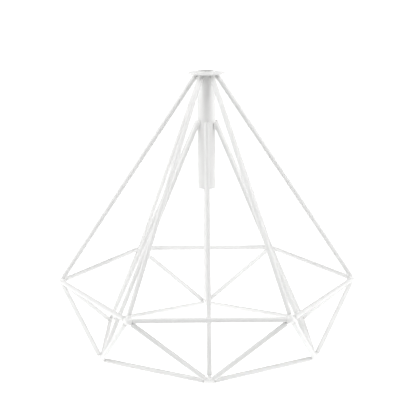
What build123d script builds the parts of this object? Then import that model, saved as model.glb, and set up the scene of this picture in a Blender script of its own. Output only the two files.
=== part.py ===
from build123d import *
import math
import os

# Wire cage lamp shade: straight steel rods welded corner to corner round a stem tube.
# +Z is up, the origin is on the floor under the stem's axis, lengths are in millimetres.

# Cage
sides = 6                # corners of the belt, and of the base
rod_dia = 5.0            # all rods
belt_across = 300.0      # widest ring, across opposite corners, rod axis to rod axis
base_across = 243.0      # ring that the shade stands on, across opposite corners
belt_rise = 63.0         # belt axes above base axes

# Stem tube
overall_height = 280.0   # floor to the stem's top rim
stem_od = 18.0
stem_wall = 2.0
stem_length = 117.5
stem_edge = 0.4          # bevel of the two outer rims

# Cap plate
cap_dia = 36.0
cap_thickness = 1.5
rim_proud = 1.5          # how far the stem stands above the plate

# Seats of the rods on the stem
upper_seat = 0.5         # upper rod's axis to the stem's wall, under the plate
inner_drop = 50.5        # stem's top rim down to the middle of the inner rods' upper ends
inner_seat = 1.25        # middle of an inner rod's upper end to the stem's wall

# Worked out from the sizes above
rod_radius = rod_dia / 2
stem_radius = stem_od / 2
base_height = rod_radius
belt_height = base_height + belt_rise
cap_underside = overall_height - rim_proud - cap_thickness
corner_step = 360 / sides
same_point = 1e-6        # shorter than this, two points are one


def on_circle(radius, degrees, height):
    """Point at a radius and an angle round the stem's axis."""
    angle = math.radians(degrees)
    return Vector(radius * math.cos(angle), radius * math.sin(angle), height)


def belt_corner(index):
    """Corner of the belt, the first one on +X."""
    return on_circle(belt_across / 2, index * corner_step, belt_height)


def base_corner(index):
    """Corner of the base, half a step on from the belt corner of the same number."""
    return on_circle(base_across / 2, (index + 0.5) * corner_step, base_height)


def upper_end(index):
    """Where an upper rod's axis meets the underside of the cap plate."""
    return on_circle(stem_radius + upper_seat, index * corner_step, cap_underside)


def inner_end(index):
    """Middle of the square cut end that an inner rod rests against the stem."""
    return on_circle(stem_radius + inner_seat, (index + 0.5) * corner_step, overall_height - inner_drop)


def belt_joint(index):
    """Far ends of the five rods that are welded together at a belt corner."""
    return [
        belt_corner(index - 1),
        belt_corner(index + 1),
        base_corner(index - 1),
        base_corner(index),
        upper_end(index),
    ]


def base_joint(index):
    """Far ends of the five rods that are welded together at a base corner."""
    return [
        base_corner(index - 1),
        base_corner(index + 1),
        belt_corner(index),
        belt_corner(index + 1),
        inner_end(index),
    ]


def round_rod(start, end):
    """Straight rod turned about its axis, with a round end centred on each of the two points."""
    length = (end - start).length
    shoulder = rod_radius * math.sqrt(0.5)
    outline = [
        ThreePointArc((0, -rod_radius), (shoulder, -shoulder), (rod_radius, 0)),
        Line((rod_radius, 0), (rod_radius, length)),
        ThreePointArc((rod_radius, length), (shoulder, length + shoulder), (0, length + rod_radius)),
        Line((0, length + rod_radius), (0, -rod_radius)),
    ]
    turned = revolve(Plane.XZ * make_face(outline), Axis.Z)
    return Plane(origin=start, z_dir=end - start) * turned


def mitred(rod, corner, far_end, joint):
    """Rod cut at a corner half way to each of the other rods there, so that they meet face to face."""
    along = (far_end - corner).normalized()
    other_ends = [end for end in joint if (end - far_end).length > same_point]
    for other_end in other_ends:
        across = (other_end - corner).normalized()
        rod = split(rod, Plane(origin=corner, z_dir=along - across), keep=Keep.TOP)
    return rod


def coped(rod):
    """Rod cut to the stem's outer wall, which it is welded to."""
    stem_space = Cylinder(stem_radius, overall_height, align=(Align.CENTER, Align.CENTER, Align.MIN))
    return rod - stem_space


def belt_rod():
    """Side of the belt, from the first corner to the second."""
    start, end = belt_corner(0), belt_corner(1)
    rod = mitred(round_rod(start, end), start, end, belt_joint(0))
    return mitred(rod, end, start, belt_joint(1))


def base_rod():
    """Side of the base, from the first corner to the second."""
    start, end = base_corner(0), base_corner(1)
    rod = mitred(round_rod(start, end), start, end, base_joint(0))
    return mitred(rod, end, start, base_joint(1))


def lower_rod(base_index):
    """Zigzag rod, from the first belt corner down to the base corner on its right (0) or left (-1)."""
    start, end = belt_corner(0), base_corner(base_index)
    rod = mitred(round_rod(start, end), start, end, belt_joint(0))
    return mitred(rod, end, start, base_joint(base_index))


def upper_rod():
    """Rod from the first belt corner up into the corner between stem and cap plate."""
    start, end = belt_corner(0), upper_end(0)
    overlong_end = end + (end - start).normalized() * rod_dia
    rod = mitred(round_rod(start, overlong_end), start, end, belt_joint(0))
    rod = split(rod, Plane(origin=end, z_dir=(0, 0, 1)), keep=Keep.BOTTOM)
    return coped(rod)


def inner_rod():
    """Rod from the first base corner up to the stem's side."""
    start, end = base_corner(0), inner_end(0)
    rod = mitred(round_rod(start, end), start, end, base_joint(0))
    rod = split(rod, Plane(origin=end, z_dir=end - start), keep=Keep.BOTTOM)
    return coped(rod)


def stem_tube():
    """Open tube, sharp at the bore and bevelled at its outer rims."""
    at_low_end = Pos(0, 0, overall_height - stem_length)
    from_below = (Align.CENTER, Align.CENTER, Align.MIN)
    wall = Cylinder(stem_radius, stem_length, align=from_below)
    wall = chamfer(wall.edges().filter_by(GeomType.CIRCLE), stem_edge)
    bore = Cylinder(stem_radius - stem_wall, stem_length, align=from_below)
    return at_low_end * (wall - bore)


def cap_plate():
    """Round plate cut from sheet, on the stem a little below its top."""
    from_below = (Align.CENTER, Align.CENTER, Align.MIN)
    plate = Cylinder(cap_dia / 2, cap_thickness, align=from_below)
    stem_hole = Cylinder(stem_radius, cap_thickness, align=from_below)
    return Pos(0, 0, cap_underside) * (plate - stem_hole)


def ring_of(name, rod):
    """The same rod at every corner, each copy a piece of its own."""
    return {f"{name}_{index + 1}": Rot(0, 0, index * corner_step) * rod for index in range(sides)}


def all_pieces():
    """Every piece of the shade by its name, with left and right as seen from outside."""
    pieces = {"stem_tube": stem_tube(), "cap_plate": cap_plate()}
    pieces.update(ring_of("upper_rod", upper_rod()))
    pieces.update(ring_of("belt_rod", belt_rod()))
    pieces.update(ring_of("lower_right_rod", lower_rod(0)))
    pieces.update(ring_of("lower_left_rod", lower_rod(-1)))
    pieces.update(ring_of("base_rod", base_rod()))
    pieces.update(ring_of("inner_rod", inner_rod()))
    return pieces


os.makedirs("parts", exist_ok=True)
for piece_name, piece in all_pieces().items():
    export_step(piece, f"parts/{piece_name}.step")
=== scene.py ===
"""Looks of a wire cage lamp shade: white powder coat over welded steel rod, in a white studio."""
import logging
import math
import random
from dataclasses import dataclass
from enum import Enum

import bmesh
import bpy
from mathutils import Matrix, Vector, noise


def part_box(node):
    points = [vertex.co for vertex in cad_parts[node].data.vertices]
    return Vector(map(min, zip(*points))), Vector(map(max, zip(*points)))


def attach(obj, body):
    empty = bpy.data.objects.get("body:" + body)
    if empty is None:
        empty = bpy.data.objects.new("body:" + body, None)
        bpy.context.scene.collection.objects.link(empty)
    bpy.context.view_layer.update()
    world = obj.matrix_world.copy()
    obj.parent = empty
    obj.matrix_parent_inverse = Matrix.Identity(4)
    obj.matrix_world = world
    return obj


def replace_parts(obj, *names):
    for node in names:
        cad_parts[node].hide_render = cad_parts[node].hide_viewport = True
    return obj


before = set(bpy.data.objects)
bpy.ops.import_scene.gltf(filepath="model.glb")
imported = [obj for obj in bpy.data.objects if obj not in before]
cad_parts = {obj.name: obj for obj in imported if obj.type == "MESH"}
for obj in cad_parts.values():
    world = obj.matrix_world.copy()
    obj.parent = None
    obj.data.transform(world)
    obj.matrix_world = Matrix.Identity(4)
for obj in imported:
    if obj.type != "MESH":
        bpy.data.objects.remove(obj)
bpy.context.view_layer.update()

MM = 0.001
SIDES = 6
BODY = "root"
BALL_SUBDIVISIONS = 3
SHADE_MIDDLE = (0.0, 0.0, 0.14)      # what the lights and the camera are aimed at

log = logging.getLogger("wire_cage")


class Ring(Enum):
    """The two rings of corners that rods are welded into."""

    BELT = "belt"
    BASE = "base"


class RodKind(Enum):
    """The sorts of rod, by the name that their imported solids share."""

    UPPER = "upper_rod"
    BELT = "belt_rod"
    LOWER_RIGHT = "lower_right_rod"
    LOWER_LEFT = "lower_left_rod"
    BASE = "base_rod"
    INNER = "inner_rod"


@dataclass(frozen=True)
class Cage:
    """Where the rods' axes run, in metres.

    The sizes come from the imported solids, apart from the stem's wall and the seats, which no solid's box
    shows.
    """

    rod_radius: float
    belt_radius: float
    belt_height: float
    base_radius: float
    base_height: float
    stem_radius: float
    stem_low: float
    stem_top: float
    cap_radius: float
    cap_low: float
    cap_top: float
    stem_wall: float = 2.0 * MM
    upper_seat: float = 0.5 * MM
    inner_seat: float = 1.25 * MM
    inner_drop: float = 50.5 * MM

    @classmethod
    def from_frame(cls) -> "Cage":
        """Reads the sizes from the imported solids.

        Returns:
            The cage that the solids make.
        """
        belt_low, belt_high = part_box("belt_rod_2")
        base_low, base_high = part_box("base_rod_6")
        stem_low, stem_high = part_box("stem_tube")
        cap_low, cap_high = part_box("cap_plate")
        rod_radius = (base_high.z - base_low.z) / 2
        flat_to_corner = math.cos(math.pi / SIDES)
        return cls(
            rod_radius=rod_radius,
            belt_radius=(belt_high.y - rod_radius) / flat_to_corner,
            belt_height=(belt_low.z + belt_high.z) / 2,
            base_radius=(base_high.x - rod_radius) / flat_to_corner,
            base_height=(base_low.z + base_high.z) / 2,
            stem_radius=stem_high.x,
            stem_low=stem_low.z,
            stem_top=stem_high.z,
            cap_radius=cap_high.x,
            cap_low=cap_low.z,
            cap_top=cap_high.z,
        )

    @staticmethod
    def on_circle(radius: float, steps: float, height: float) -> Vector:
        """Gives a point round the stem's axis.

        Args:
            radius: Distance from the axis.
            steps: Angle from +X, in sides of the hexagon.
            height: Height above the floor.

        Returns:
            The point.
        """
        angle = steps * math.tau / SIDES
        return Vector((radius * math.cos(angle), radius * math.sin(angle), height))

    def belt_corner(self, index: int) -> Vector:
        """Gives a corner of the wide belt, the first one on +X."""
        return self.on_circle(self.belt_radius, index, self.belt_height)

    def base_corner(self, index: int) -> Vector:
        """Gives a corner of the base, half a side on from the belt's."""
        return self.on_circle(self.base_radius, index + 0.5, self.base_height)

    def upper_end(self, index: int) -> Vector:
        """Gives the point where an upper rod's axis meets the cap plate."""
        return self.on_circle(self.stem_radius + self.upper_seat, index, self.cap_low)

    def inner_end(self, index: int) -> Vector:
        """Gives the middle of an inner rod's end at the stem."""
        height = self.stem_top - self.inner_drop
        return self.on_circle(self.stem_radius + self.inner_seat, index + 0.5, height)

    def by_wall(self, end: Vector, off_wall: float, drop: float, aside: float = 0.0) -> Vector:
        """Gives a point by the stem's wall, measured from the rod's end that is seated there.

        Args:
            end: The rod's end.
            off_wall: Distance outwards from the wall.
            drop: Distance down from the end.
            aside: Distance to the side, anticlockwise as seen from above.

        Returns:
            The point.
        """
        outward = Vector((end.x, end.y, 0.0)).normalized()
        side = Vector((-outward.y, outward.x, 0.0))
        wall = outward * self.stem_radius + Vector((0.0, 0.0, end.z))
        return wall + outward * off_wall + side * aside - Vector((0.0, 0.0, drop))

    def corner(self, ring: Ring, index: int) -> Vector:
        """Gives a corner of either ring."""
        return self.belt_corner(index) if ring is Ring.BELT else self.base_corner(index)

    def far_ends(self, ring: Ring, index: int) -> list[Vector]:
        """Lists where the five rods of a corner lead.

        Args:
            ring: The ring that the corner is on.
            index: The corner's number, from 0.

        Returns:
            The rods' other ends.
        """
        if ring is Ring.BELT:
            return [
                self.belt_corner(index - 1),
                self.belt_corner(index + 1),
                self.base_corner(index - 1),
                self.base_corner(index),
                self.upper_end(index),
            ]
        return [
            self.base_corner(index - 1),
            self.base_corner(index + 1),
            self.belt_corner(index),
            self.belt_corner(index + 1),
            self.inner_end(index),
        ]

    def axis(self, kind: RodKind, index: int) -> tuple[Vector, Vector]:
        """Gives the two ends of a rod's axis.

        Args:
            kind: The sort of rod.
            index: The rod's number, from 0.

        Returns:
            The axis from its corner to its other end.
        """
        ends = {
            RodKind.UPPER: (self.belt_corner(index), self.upper_end(index)),
            RodKind.BELT: (self.belt_corner(index), self.belt_corner(index + 1)),
            RodKind.LOWER_RIGHT: (self.belt_corner(index), self.base_corner(index)),
            RodKind.LOWER_LEFT: (self.belt_corner(index), self.base_corner(index - 1)),
            RodKind.BASE: (self.base_corner(index), self.base_corner(index + 1)),
            RodKind.INNER: (self.base_corner(index), self.inner_end(index)),
        }
        return ends[kind]


def linear_colour(code: str) -> tuple[float, float, float, float]:
    """Turns an sRGB hex colour into the linear values that shaders take.

    Args:
        code: The colour, as six hex digits after a hash.

    Returns:
        Linear red, green, blue and full alpha.
    """
    parts = [int(code[i:i + 2], 16) / 255 for i in (1, 3, 5)]
    red, green, blue = [p / 12.92 if p <= 0.04045 else ((p + 0.055) / 1.055) ** 2.4 for p in parts]
    return red, green, blue, 1.0


def add_node(tree: bpy.types.NodeTree, kind: str, sockets: dict, **settings: object) -> bpy.types.Node:
    """Adds one node with its settings, constants and links.

    Args:
        tree: The tree that gets the node.
        kind: The node's type.
        sockets: A constant or a feeding socket for each input, by name or number.
        **settings: The node's own properties.

    Returns:
        The node.
    """
    node = tree.nodes.new(kind)
    for name, value in settings.items():
        setattr(node, name, value)
    for name, value in sockets.items():
        if isinstance(value, bpy.types.NodeSocket):
            tree.links.new(value, node.inputs[name])
        else:
            node.inputs[name].default_value = value
    return node


@dataclass(frozen=True)
class PowderCoat:
    """White polyester powder, sprayed on steel and baked until it flows.

    The film is a soft white with a low sheen. It flows level but keeps a faint orange peel, and its
    white drifts a little with the film's thickness.
    """

    name: str
    thick_colour: str = "#F1F1F0"
    thin_colour: str = "#EAEAE9"
    smoothest: float = 0.30
    roughest: float = 0.42
    ior: float = 1.5
    drift_mm: float = 9.0
    peel_mm: float = 1.6       # real peel is under 1 mm, drawn coarser so that it shows
    peel_depth_mm: float = 0.02
    lump_mm: float = 3.5
    lump_depth_mm: float = 0.0

    def material(self) -> bpy.types.Material:
        """Builds the coat's material.

        Returns:
            The material, with its patterns scaled in millimetres.
        """
        material = bpy.data.materials.new(self.name)
        material.use_nodes = True
        tree = material.node_tree
        tree.nodes.clear()
        place = add_node(tree, "ShaderNodeTexCoord", {}).outputs["Object"]
        drift, peel, lumps = [
            add_node(tree, "ShaderNodeTexNoise", {"Vector": place, "Scale": 1 / (size * MM)}).outputs["Fac"]
            for size in (self.drift_mm, self.peel_mm, self.lump_mm)
        ]
        colour = add_node(tree, "ShaderNodeValToRGB", {"Fac": drift})
        colour.color_ramp.elements[0].color = linear_colour(self.thin_colour)
        colour.color_ramp.elements[1].color = linear_colour(self.thick_colour)
        sheen = add_node(tree, "ShaderNodeMapRange", {
            "Value": peel,
            "To Min": self.smoothest,
            "To Max": self.roughest,
        })
        lumpy = add_node(tree, "ShaderNodeBump", {
            "Height": lumps,
            "Distance": self.lump_depth_mm * MM,
        })
        skin = add_node(tree, "ShaderNodeBump", {
            "Height": peel,
            "Distance": self.peel_depth_mm * MM,
            "Normal": lumpy.outputs["Normal"],
        })
        film = add_node(tree, "ShaderNodeBsdfPrincipled", {
            "Base Color": colour.outputs["Color"],
            "Roughness": sheen.outputs["Result"],
            "IOR": self.ior,
            "Normal": skin.outputs["Normal"],
        })
        add_node(tree, "ShaderNodeOutputMaterial", {"Surface": film.outputs["BSDF"]})
        return material


# On drawn rod, the film is even and satin.
ROD_COAT = PowderCoat("white_powder_coat_on_rod")

# On weld metal, the film is glossier and lumpy, and its colour is drawn whiter than on rod: a painted
# highlight for the light that the nuggets catch.
PAINTED_HIGHLIGHT_WELD_FILM = PowderCoat("weld_film_painted_highlight", thick_colour="#FAFAF9", thin_colour="#F4F4F3",
                       smoothest=0.24, roughest=0.34, lump_depth_mm=0.15)

# In the bore, the film is drawn greyer than outside, as painted shade for the dark inside of the tube, and it
# is also duller.
PAINTED_SHADE_IN_BORE = PowderCoat("grey_film_painted_shade_in_bore", thick_colour="#DCDCDA", thin_colour="#BEBEBC",
                       smoothest=0.40, roughest=0.55)


def shade(shape: bmesh.types.BMesh, sharp_from: float = math.radians(50)) -> None:
    """Shades every face smooth, with the edges kept sharp that bend by more than an angle.

    Args:
        shape: The mesh to shade.
        sharp_from: The angle, in radians.
    """
    for face in shape.faces:
        face.smooth = True
    for edge in shape.edges:
        edge.smooth = edge.calc_face_angle(0.0) < sharp_from


def finished(shape: bmesh.types.BMesh, name: str, coat: bpy.types.Material) -> bpy.types.Object:
    """Makes a piece of the shade from a mesh that is in its place.

    Args:
        shape: The mesh, which is used up.
        name: The piece's name.
        coat: Its material.

    Returns:
        The piece, riding on the shade.
    """
    mesh = bpy.data.meshes.new(name)
    shape.to_mesh(mesh)
    shape.free()
    mesh.materials.append(coat)
    piece = bpy.data.objects.new(name, mesh)
    bpy.context.scene.collection.objects.link(piece)
    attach(piece, BODY)
    log.info("%s: %d faces", name, len(mesh.polygons))
    return piece


def add_ball(shape: bmesh.types.BMesh, middle: Vector, radius: float) -> None:
    """Adds a ball round a point."""
    bmesh.ops.create_icosphere(shape, subdivisions=BALL_SUBDIVISIONS, radius=radius,
                               matrix=Matrix.Translation(middle))


def add_stub(shape: bmesh.types.BMesh, start: Vector, end: Vector, start_radius: float, end_radius: float,
             segments: int = 32) -> None:
    """Adds a closed round stub between two points.

    Args:
        shape: The mesh that gets the stub.
        start: Middle of its first end.
        end: Middle of its other end.
        start_radius: Radius at the first end.
        end_radius: Radius at the other end.
        segments: Sides of the round.
    """
    run = end - start
    turn = run.to_track_quat("Z", "Y").to_matrix().to_4x4()
    place = Matrix.Translation((start + end) / 2) @ turn
    bmesh.ops.create_cone(shape, cap_ends=True, segments=segments, radius1=start_radius, radius2=end_radius,
                          depth=run.length, matrix=place)


def add_drop(shape: bmesh.types.BMesh, top: Vector, low: Vector, top_radius: float,
             low_radius: float) -> None:
    """Adds a tapered stub with a round end on each of two points.

    Args:
        shape: The mesh that gets the drop.
        top: Middle of its first end.
        low: Middle of its other end.
        top_radius: Radius of the first end.
        low_radius: Radius of the other end.
    """
    add_stub(shape, top, low, top_radius, low_radius)
    add_ball(shape, top, top_radius)
    add_ball(shape, low, low_radius)


@dataclass(frozen=True)
class Weld:
    """How weld metal flows: the grain of its skin, how far it sinks into corners, and its lumps."""

    coat: bpy.types.Material
    voxel: float = 0.4 * MM
    rounds: int = 4
    smoothing: float = 0.5
    lump_height: float = 0.30 * MM
    lump_length: float = 2.2 * MM
    lump_sink: float = 0.8     # in lump heights, so that few lumps stand proud
    seed_stride: tuple[float, float, float] = (1.7, 0.9, 2.3)

    def lay(self, shape: bmesh.types.BMesh, seed: int, name: str) -> None:
        """Lays a piece of weld metal.

        Args:
            shape: Overlapping closed shapes that it fills, which are used up.
            seed: Number that sets where the lumps fall.
            name: The piece's name.
        """
        bead = self.melted(shape)
        self.roughen(bead, seed)
        shade(bead, sharp_from=math.pi)
        finished(bead, name, self.coat)

    def melted(self, shape: bmesh.types.BMesh) -> bmesh.types.BMesh:
        """Melts overlapping closed shapes into one smooth skin.

        Args:
            shape: The shapes, which are used up.

        Returns:
            The skin.
        """
        rough = bpy.data.meshes.new("rough_weld")
        shape.to_mesh(rough)
        shape.free()
        carrier = bpy.data.objects.new("rough_weld", rough)
        bpy.context.scene.collection.objects.link(carrier)
        remesh = carrier.modifiers.new("melt", "REMESH")
        remesh.mode = "VOXEL"
        remesh.voxel_size = self.voxel
        graph = bpy.context.evaluated_depsgraph_get()
        skin = bpy.data.meshes.new_from_object(carrier.evaluated_get(graph))
        bpy.data.objects.remove(carrier)
        bpy.data.meshes.remove(rough)
        bead = bmesh.new()
        bead.from_mesh(skin)
        bpy.data.meshes.remove(skin)
        for _ in range(self.rounds):
            bmesh.ops.smooth_vert(bead, verts=bead.verts, factor=self.smoothing, use_axis_x=True,
                                  use_axis_y=True, use_axis_z=True)
        return bead

    def roughen(self, bead: bmesh.types.BMesh, seed: int) -> None:
        """Sinks the skin here and there, as hand laid weld has it.

        Args:
            bead: The skin.
            seed: Number that sets where the lumps fall.
        """
        bead.normal_update()
        shift = Vector([seed * stride for stride in self.seed_stride])
        for vert in bead.verts:
            swell = noise.noise(vert.co / self.lump_length + shift)
            vert.co += vert.normal * self.lump_height * (swell - self.lump_sink)


@dataclass
class RodCage:
    """The straight rods, each cut a little short of its corners, where weld metal closes round its core."""

    cage: Cage
    coat: bpy.types.Material
    shortest_gap: float = 4.8 * MM
    longest_gap: float = 6.2 * MM
    cap_gap: float = 3.4 * MM
    stem_gap: float = 0.0
    end_round: float = 0.9 * MM
    seat_round: float = 0.4 * MM
    round_steps: int = 5
    core_length: float = 3.0 * MM
    segments: int = 48
    cuts: int = 24
    seed: int = 11

    def build(self) -> None:
        """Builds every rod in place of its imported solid."""
        chance = random.Random(self.seed)
        seat_gaps = {RodKind.UPPER: self.cap_gap, RodKind.INNER: self.stem_gap}
        for kind in RodKind:
            for index in range(SIDES):
                near, far = [chance.uniform(self.shortest_gap, self.longest_gap) for _ in range(2)]
                self.rod(kind, index, near, seat_gaps.get(kind, far))

    def rod(self, kind: RodKind, index: int, near_gap: float, far_gap: float) -> None:
        """Builds one rod.

        Args:
            kind: The sort of rod.
            index: Its number, from 0.
            near_gap: How far it stops short of its corner.
            far_gap: How far it stops short of its other end.
        """
        start, end = self.cage.axis(kind, index)
        radius = self.cage.rod_radius
        along = (end - start).normalized()
        shape = bmesh.new()
        add_stub(shape, start + along * near_gap, end - along * far_gap, radius, radius, self.segments)
        lengthways = [edge for edge in shape.edges if edge.calc_length() > radius]
        bmesh.ops.subdivide_edges(shape, edges=lengthways, cuts=self.cuts)
        seat_side = along if kind is RodKind.INNER else Vector()
        self.round_ends(shape, seat_side)
        self.add_cores(shape, seat_side)
        shade(shape)
        node = f"{kind.value}_{index + 1}"
        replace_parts(finished(shape, f"coated_{node}", self.coat), node)

    def flats(self, shape: bmesh.types.BMesh) -> list[bmesh.types.BMFace]:
        """Lists the two round flats at a rod's ends."""
        return [face for face in shape.faces if len(face.verts) == self.segments]

    def round_ends(self, shape: bmesh.types.BMesh, seat_side: Vector) -> None:
        """Rounds a rod's ends, less at a seat on the stem than at a corner.

        Args:
            shape: The rod with square ends.
            seat_side: Direction of the end that is seated on the stem, or zero where neither is.
        """
        for rim, at_seat in [(list(f.edges), f.normal.dot(seat_side) > 0) for f in self.flats(shape)]:
            offset = self.seat_round if at_seat else self.end_round
            bmesh.ops.bevel(shape, geom=rim, offset=offset, segments=self.round_steps, profile=0.5,
                            affect="EDGES", material=-1)

    def add_cores(self, shape: bmesh.types.BMesh, seat_side: Vector) -> None:
        """Draws the cores out that run on into the weld metal of a rod's corners.

        Args:
            shape: The rod with rounded ends.
            seat_side: Direction of the end that is seated on the stem, or zero where neither is.
        """
        at_corners = [face for face in self.flats(shape) if face.normal.dot(seat_side) <= 0]
        for face in bmesh.ops.extrude_discrete_faces(shape, faces=at_corners)["faces"]:
            bmesh.ops.translate(shape, vec=face.normal * self.core_length, verts=face.verts)


@dataclass
class CornerWelds:
    """Weld metal that the five rods of each corner share."""

    cage: Cage
    weld: Weld
    reach: float = 4.8 * MM

    def build(self) -> None:
        """Builds the twelve corners."""
        for ring in Ring:
            for index in range(SIDES):
                self.corner(ring, index)

    def corner(self, ring: Ring, index: int) -> None:
        """Builds one corner.

        Args:
            ring: The ring that the corner is on.
            index: The corner's number, from 0.
        """
        middle = self.cage.corner(ring, index)
        radius = self.cage.rod_radius
        shape = bmesh.new()
        add_ball(shape, middle, radius)
        for far_end in self.cage.far_ends(ring, index):
            along = (far_end - middle).normalized()
            add_stub(shape, middle, middle + along * self.reach, radius, radius)
        seed = index + SIDES * list(Ring).index(ring)
        self.weld.lay(shape, seed, f"{ring.value}_corner_weld_{index + 1}")


@dataclass(frozen=True)
class Heap:
    """A drop of weld metal at an inner rod's end, measured on the stem's wall from the end's middle."""

    top_drop: float
    low_drop: float
    top_off_wall: float
    low_off_wall: float
    top_radius: float
    low_radius: float


class StemHeap(Enum):
    """How much weld metal an inner rod's end got: a spot in the wedge, a short run or a knob over the end."""

    SPOT = Heap(5.4 * MM, 7.4 * MM, 0.8 * MM, 1.4 * MM, 0.9 * MM, 0.8 * MM)
    RUN = Heap(2.0 * MM, 6.4 * MM, 0.4 * MM, 0.9 * MM, 2.1 * MM, 1.4 * MM)
    KNOB = Heap(0.0 * MM, 3.0 * MM, 1.4 * MM, 1.4 * MM, 2.9 * MM, 2.4 * MM)


@dataclass
class StemWelds:
    """Weld metal between the stem's side and the inner rods, which not all ends have alike."""

    cage: Cage
    weld: Weld
    heaps: tuple[StemHeap, ...] = (
        StemHeap.RUN,
        StemHeap.RUN,
        StemHeap.SPOT,
        StemHeap.KNOB,
        StemHeap.SPOT,
        StemHeap.SPOT,
    )
    first_seed: int = 20

    def build(self) -> None:
        """Builds the six heaps."""
        for index in range(SIDES):
            self.heap(index, self.heaps[index].value)

    def heap(self, index: int, heap: Heap) -> None:
        """Builds one heap, half sunk in the stem's wall.

        Args:
            index: The inner rod's number, from 0.
            heap: Its size and place.
        """
        end = self.cage.inner_end(index)
        top = self.cage.by_wall(end, heap.top_off_wall, heap.top_drop)
        low = self.cage.by_wall(end, heap.low_off_wall, heap.low_drop)
        shape = bmesh.new()
        add_drop(shape, top, low, heap.top_radius, heap.low_radius)
        self.weld.lay(shape, self.first_seed + index, f"stem_weld_{index + 1}")


@dataclass
class CapWelds:
    """Beads on both sides of each upper rod, low on the seam that it makes with the stem."""

    cage: Cage
    weld: Weld
    top_drop: float = 2.8 * MM
    low_drop: float = 5.0 * MM
    top_aside: float = 1.9 * MM
    low_aside: float = 0.8 * MM
    top_off_wall: float = 0.3 * MM
    low_off_wall: float = 0.6 * MM
    top_radius: float = 1.0 * MM
    low_radius: float = 1.1 * MM
    first_seed: int = 30

    def build(self) -> None:
        """Builds the six pairs of beads."""
        for index in range(SIDES):
            self.pair(index)

    def pair(self, index: int) -> None:
        """Builds the two beads of a rod as one piece.

        Args:
            index: The upper rod's number, from 0.
        """
        end = self.cage.upper_end(index)
        shape = bmesh.new()
        for sign in (1, -1):
            top = self.cage.by_wall(end, self.top_off_wall, self.top_drop, sign * self.top_aside)
            low = self.cage.by_wall(end, self.low_off_wall, self.low_drop, sign * self.low_aside)
            add_drop(shape, top, low, self.top_radius, self.low_radius)
        self.weld.lay(shape, self.first_seed + index, f"cap_weld_{index + 1}")


@dataclass
class TurnedParts:
    """The stem tube and the cap plate, which are round about the shade's axis."""

    cage: Cage
    coat: bpy.types.Material
    shaded_bore_paint: bpy.types.Material
    rim_angle: float = math.radians(60)
    rim_round: float = 0.2 * MM
    round_steps: int = 3
    steps: int = 96

    def build(self) -> None:
        """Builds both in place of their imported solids."""
        self.stem()
        cap = self.ring(self.cage.stem_radius, self.cage.cap_radius, self.cage.cap_low, self.cage.cap_top)
        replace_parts(finished(cap, "coated_cap_plate", self.coat), "cap_plate")

    def stem(self) -> None:
        """Builds the stem tube, with the bore in a greyer coat that is painted shade."""
        bore = self.cage.stem_radius - self.cage.stem_wall
        shape = self.ring(bore, self.cage.stem_radius, self.cage.stem_low, self.cage.stem_top)
        for face in shape.faces:
            in_bore = face.calc_center_median().xy.length < bore + self.rim_round / 2
            face.material_index = int(in_bore)
        tube = finished(shape, "coated_stem_tube", self.coat)
        tube.data.materials.append(self.shaded_bore_paint)
        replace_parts(tube, "stem_tube")

    def ring(self, inner: float, outer: float, low: float, high: float) -> bmesh.types.BMesh:
        """Spins an oblong section into a ring and rounds its rims.

        Args:
            inner: Radius of the hole.
            outer: Radius outside.
            low: Height of the lower face.
            high: Height of the upper face.

        Returns:
            The ring.
        """
        shape = bmesh.new()
        section = [(inner, low), (outer, low), (outer, high), (inner, high)]
        verts = [shape.verts.new((radius, 0.0, height)) for radius, height in section]
        edges = [shape.edges.new((verts[i - 1], verts[i])) for i in range(len(verts))]
        bmesh.ops.spin(shape, geom=verts + edges, cent=(0, 0, 0), axis=(0, 0, 1), angle=math.tau,
                       steps=self.steps, use_merge=True)
        bmesh.ops.recalc_face_normals(shape, faces=shape.faces)
        rims = [edge for edge in shape.edges if edge.calc_face_angle(0.0) > self.rim_angle]
        bmesh.ops.bevel(shape, geom=rims, offset=self.rim_round, segments=self.round_steps, profile=0.5,
                        affect="EDGES", material=-1)
        shade(shape)
        return shape


def shown_rays(tree: bpy.types.NodeTree) -> bpy.types.NodeSocket:
    """Tells the rays apart that show a thing: to the camera, in a reflection or through glass.

    Args:
        tree: The tree that asks.

    Returns:
        A socket that gives 1 on such a ray and 0 on one that only carries light.
    """
    path = add_node(tree, "ShaderNodeLightPath", {})
    seen = add_node(tree, "ShaderNodeMath", {
        0: path.outputs["Is Camera Ray"],
        1: path.outputs["Is Glossy Ray"],
    }, operation="MAXIMUM")
    shown = add_node(tree, "ShaderNodeMath", {
        0: seen.outputs["Value"],
        1: path.outputs["Is Transmission Ray"],
    }, operation="MAXIMUM")
    return shown.outputs["Value"]


@dataclass(frozen=True)
class SoftBox:
    """A flat soft light that faces the shade and isn't seen itself. Lengths are in metres."""

    name: str
    centre: tuple[float, float, float]
    width: float
    radiance: float
    height: float = 0.55

    def build(self) -> None:
        """Hangs the light."""
        lamp = bpy.data.lights.new(self.name, "AREA")
        lamp.shape = "RECTANGLE"
        lamp.size = self.width
        lamp.size_y = self.height
        lamp.energy = self.radiance * math.pi * self.width * self.height
        light = bpy.data.objects.new(self.name, lamp)
        place = Vector(self.centre)
        turn = (Vector(SHADE_MIDDLE) - place).to_track_quat("-Z", "Y")
        light.matrix_world = Matrix.Translation(place) @ turn.to_matrix().to_4x4()
        light.visible_camera = False
        bpy.context.scene.collection.objects.link(light)
        log.info("%s: radiance %.2f", self.name, self.radiance)


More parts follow.
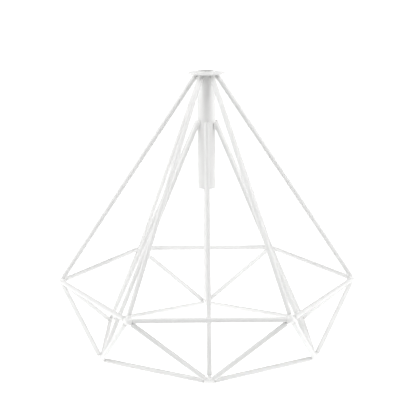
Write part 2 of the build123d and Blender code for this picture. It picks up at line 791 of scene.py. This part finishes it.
@dataclass
class Studio:
    """White paper that glows more and more towards the back as a fill light from below, white surroundings
    and soft boxes.
    """

    floor_radius: float = 30.0
    floor_segments: int = 96
    floor_colour: str = "#F4F4F4"
    glow_front: float = -0.49
    glow_back: float = 0.58
    back_glow: float = 1.0
    floor_lift: float = 0.98
    room_colour: str = "#FFFFFF"
    room_fill: float = 0.17
    room_shown: float = 1.0
    boxes: tuple[SoftBox, ...] = (
        SoftBox("left_side_box", (-1.09, 0.0, 0.29), width=0.55, radiance=1.76),
        SoftBox("right_side_box", (1.05, 0.28, 0.29), width=0.90, radiance=1.14),
        SoftBox("left_high_box", (-0.82, -0.30, 0.82), width=0.90, radiance=3.40),
        SoftBox("right_high_box", (0.75, -0.43, 0.82), width=0.70, radiance=4.28),
        SoftBox("overhead_box", (0.0, -0.19, 1.22), width=0.80, radiance=2.14),
    )

    def build(self) -> None:
        """Builds the floor, the surroundings and the lights."""
        self.floor()
        self.surroundings()
        for box in self.boxes:
            box.build()

    def floor(self) -> None:
        """Builds a round floor that ends out of sight."""
        shape = bmesh.new()
        bmesh.ops.create_circle(shape, cap_ends=True, segments=self.floor_segments, radius=self.floor_radius)
        mesh = bpy.data.meshes.new("studio_floor")
        shape.to_mesh(mesh)
        shape.free()
        mesh.materials.append(self.paper())
        floor = bpy.data.objects.new("studio_floor", mesh)
        bpy.context.scene.collection.objects.link(floor)

    def paper(self) -> bpy.types.Material:
        """Builds the floor's paper, which is matt, glows more towards the back as a fill light from below,
        and is lifted to plain white where it is seen.

        Returns:
            The material.
        """
        material = bpy.data.materials.new("white_paper")
        material.use_nodes = True
        tree = material.node_tree
        tree.nodes.clear()
        place = add_node(tree, "ShaderNodeTexCoord", {}).outputs["Object"]
        depth = add_node(tree, "ShaderNodeSeparateXYZ", {"Vector": place})
        glow = add_node(tree, "ShaderNodeMapRange", {
            "Value": depth.outputs["Y"],
            "From Min": self.glow_front,
            "From Max": self.glow_back,
            "To Max": self.back_glow,
        })
        lifted = add_node(tree, "ShaderNodeMapRange", {
            "Value": shown_rays(tree),
            "To Min": glow.outputs["Result"],
            "To Max": self.floor_lift,
        })
        matt = add_node(tree, "ShaderNodeBsdfDiffuse", {"Color": linear_colour(self.floor_colour)})
        lift = add_node(tree, "ShaderNodeEmission", {"Strength": lifted.outputs["Result"]})
        both = add_node(tree, "ShaderNodeAddShader", {0: matt.outputs["BSDF"], 1: lift.outputs["Emission"]})
        add_node(tree, "ShaderNodeOutputMaterial", {"Surface": both.outputs["Shader"]})
        return material

    def surroundings(self) -> None:
        """Fills the room with an even light, and shows it white to the camera and to reflections."""
        world = bpy.data.worlds.new("white_room")
        world.use_nodes = True
        tree = world.node_tree
        tree.nodes.clear()
        strength = add_node(tree, "ShaderNodeMapRange", {
            "Value": shown_rays(tree),
            "To Min": self.room_fill,
            "To Max": self.room_shown,
        })
        room = add_node(tree, "ShaderNodeBackground", {
            "Color": linear_colour(self.room_colour),
            "Strength": strength.outputs["Result"],
        })
        add_node(tree, "ShaderNodeOutputWorld", {"Surface": room.outputs["Background"]})
        bpy.context.scene.world = world


@dataclass(frozen=True)
class PhotoCamera:
    """The photograph's camera, with its focal length in pixels of the 416 by 416 frame."""

    azimuth: float = math.radians(-0.923)
    elevation: float = math.radians(12.695)
    roll: float = math.radians(-0.223)
    distance: float = 1.1098
    focal_pixels: float = 1094.6
    frame_pixels: float = 416.0
    sensor_mm: float = 36.0
    aside: float = 1.21 * MM
    above: float = 1.27 * MM
    clip_start: float = 10.0 * MM

    def axes(self) -> tuple[Vector, Vector, Vector]:
        """Works out how the camera is turned.

        Returns:
            The directions of the picture's right, of its top, and from the shade to the camera.
        """
        turn, lift = self.azimuth, self.elevation
        back = Vector((math.sin(turn) * math.cos(lift), -math.cos(turn) * math.cos(lift), math.sin(lift)))
        level = Vector((math.cos(turn), math.sin(turn), 0.0))
        upright = back.cross(level)
        right = level * math.cos(self.roll) + upright * math.sin(self.roll)
        up = upright * math.cos(self.roll) - level * math.sin(self.roll)
        return right, up, back

    def build(self) -> None:
        """Sets the scene's camera up."""
        right, up, back = self.axes()
        place = Vector(SHADE_MIDDLE) + right * self.aside + up * self.above + back * self.distance
        lens = bpy.data.cameras.new("photo_camera")
        lens.sensor_width = self.sensor_mm
        lens.lens = self.focal_pixels / self.frame_pixels * self.sensor_mm
        lens.clip_start = self.clip_start
        camera = bpy.data.objects.new("photo_camera", lens)
        camera.matrix_world = Matrix.Translation(place) @ Matrix((right, up, back)).transposed().to_4x4()
        bpy.context.scene.collection.objects.link(camera)
        bpy.context.scene.camera = camera


def main() -> None:
    """Builds the shade's looks, the studio and the camera."""
    logging.basicConfig(level=logging.INFO, format="%(message)s")
    bpy.context.scene.view_settings.view_transform = "Standard"
    cage = Cage.from_frame()
    rod_coat = ROD_COAT.material()
    weld = Weld(PAINTED_HIGHLIGHT_WELD_FILM.material())
    RodCage(cage, rod_coat).build()
    TurnedParts(cage, rod_coat, PAINTED_SHADE_IN_BORE.material()).build()
    CornerWelds(cage, weld).build()
    StemWelds(cage, weld).build()
    CapWelds(cage, weld).build()
    Studio().build()
    PhotoCamera().build()


if __name__ == "__main__":
    main()
